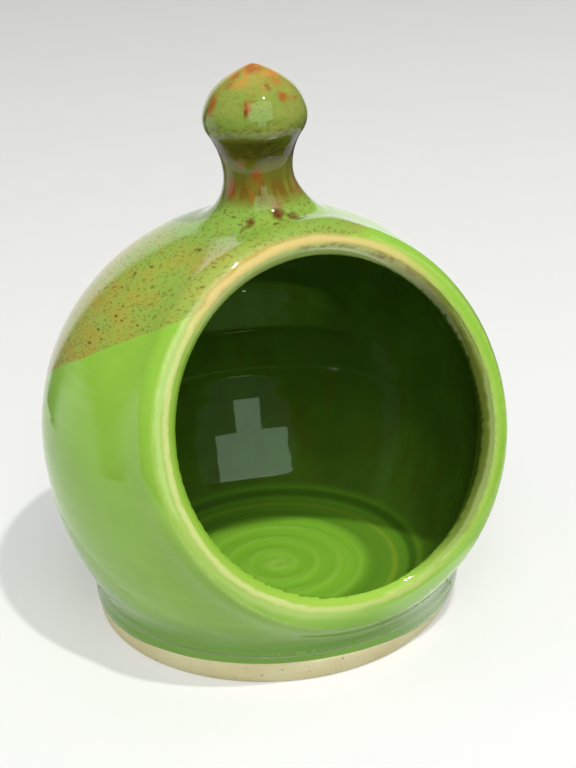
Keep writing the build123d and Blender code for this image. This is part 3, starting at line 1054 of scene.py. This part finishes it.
def stage_disc(name, radius, height, rise=0.0):
    """A round floor, with an upright rim if rise isn't zero."""
    steps = 96
    ring = [(radius * cos(2 * pi * i / steps), radius * sin(2 * pi * i / steps)) for i in range(steps)]
    points = [(x, y, height) for x, y in ring]
    faces = [tuple(range(steps))]
    if rise:
        points += [(x, y, height + rise) for x, y in ring]
        faces += [((i + 1) % steps, i, i + steps, (i + 1) % steps + steps) for i in range(steps)]
    mesh = bpy.data.meshes.new(name)
    mesh.from_pydata(points, [], faces)
    mesh.materials.append(pale)
    disc = bpy.data.objects.new(name, mesh)
    bpy.context.scene.collection.objects.link(disc)
    return disc


stage_disc("table", table_radius, 0.0)
beyond = stage_disc("backdrop", stage_radius, -0.0005, stage_height)
beyond.visible_glossy = False
beyond.visible_diffuse = False
beyond.visible_transmission = False
beyond.visible_shadow = False

# The light: a small bright lamp high in front, whose shadow of the lip falls on the inner floor,
# a window that the glaze mirrors, soft light from the sides, and a room that is white behind.
pot_middle = Vector((0.0, 0.0, 0.08))
lamp_way = (13, 64)
lamp_distance = 1.4
lamp_size = 0.05
lamp_power = 11.0
window_distance = 1.1
window_panes = (((-13, 37), (1.0, 0.80), 5.0), ((-12, 8), (0.32, 0.34), 0.68))
soft_distance = 1.2
soft_size = (0.8, 0.8)
soft_lamps = (((-20, 45), 7.0), ((90, 20), 1.7), ((-110, 15), 3.2))
room_front = 0.16
room_back = 1.25
room_above = 0.40
room_low_left = 0.9


def point_at(azimuth, elevation, distance, centre=pot_middle):
    """The point that many degrees round from the pot's front and up, at a distance."""
    turn, rise = radians(azimuth), radians(elevation)
    way = Vector((sin(turn) * cos(rise), -cos(turn) * cos(rise), sin(rise)))
    return centre + way * distance


def add_lamp(name, way, distance, power, size, colour):
    """An area lamp that faces the pot."""
    light = bpy.data.lights.new(name, "AREA")
    light.energy = power
    light.color = colour
    light.shape = "RECTANGLE" if len(size) == 2 else "DISK"
    light.size, light.size_y = size[0], size[-1]
    lamp = bpy.data.objects.new(name, light)
    lamp.location = point_at(*way, distance)
    lamp.rotation_euler = (pot_middle - lamp.location).to_track_quat("-Z", "Y").to_euler()
    bpy.context.scene.collection.objects.link(lamp)
    return lamp


add_lamp("lamp", lamp_way, lamp_distance, lamp_power, (lamp_size,), (1.0, 0.98, 0.95))
for number, (way, size, power) in enumerate(window_panes):
    pane = add_lamp(f"pane_{number}", way, window_distance, power, size, (0.72, 1.0, 0.76))
    pane.visible_diffuse = False
for number, (way, power) in enumerate(soft_lamps):
    soft = add_lamp(f"soft_{number}", way, soft_distance, power, soft_size, (1.0, 1.0, 1.0))
    soft.visible_glossy = False

world = bpy.data.worlds.new("room")
bpy.context.scene.world = world
world.use_nodes = True
tree = world.node_tree
tree.nodes.clear()
way = apart(tree, add_node(tree, "ShaderNodeTexCoord").outputs["Generated"])
backwards = maths(tree, "MULTIPLY_ADD", way["X"], 0.35, times(tree, way["Y"], 0.94))
low = maths(tree, "MULTIPLY_ADD", way["Y"], 0.69, times(tree, way["Z"], -0.25))
low_left = maths(tree, "MULTIPLY_ADD", way["X"], -0.68, low)
around = maths(
    tree,
    "ADD",
    spread(tree, backwards, 0.84, 0.90, room_front, room_back),
    spread(tree, low_left, 0.90, 0.97, 0.0, room_low_left),
)
level = {0: spread(tree, way["Z"], 0.5, 0.9), 2: around, 3: room_above}
level = add_node(tree, "ShaderNodeMix", level, data_type="FLOAT").outputs[0]
background = add_node(tree, "ShaderNodeBackground", {"Strength": level})
add_node(tree, "ShaderNodeOutputWorld", {0: background.outputs[0]})

# The camera stands as the viewer does: in front on the left, above the pot, turned a little
camera_azimuth = -26.36
camera_elevation = 22.51
camera_distance = 0.43325
aim_height = 0.0825
camera_roll = radians(-2.77)
frame_height = 768
focal_pixels = 1501.47
aim_pixel = (-21.99, -48.04)
sensor_size = 36.0

aim = Vector((0.0, 0.0, aim_height))
camera_place = point_at(camera_azimuth, camera_elevation, camera_distance, aim)
forward = (aim - camera_place).normalized()
right = forward.cross(Vector((0.0, 0.0, 1.0))).normalized()
up = right.cross(forward)
rolled_right = cos(camera_roll) * right + sin(camera_roll) * up
rolled_up = -sin(camera_roll) * right + cos(camera_roll) * up
aim_way = Vector((aim_pixel[0], -aim_pixel[1], focal_pixels)).normalized()
to_aim = Vector((0.0, 0.0, 1.0)).rotation_difference(aim_way).to_matrix()
axes = to_aim @ Matrix((rolled_right, rolled_up, forward))
camera_data = bpy.data.cameras.new("camera")
camera_data.sensor_width = sensor_size
camera_data.lens = focal_pixels / frame_height * sensor_size
camera_data.clip_start = 0.01
camera = bpy.data.objects.new("camera", camera_data)
turned_axes = Matrix((axes[0], axes[1], -axes[2])).transposed().to_4x4()
camera.matrix_world = Matrix.Translation(camera_place) @ turned_axes
bpy.context.scene.collection.objects.link(camera)
bpy.context.scene.camera = camera
bpy.context.scene.view_settings.view_transform = "Standard"
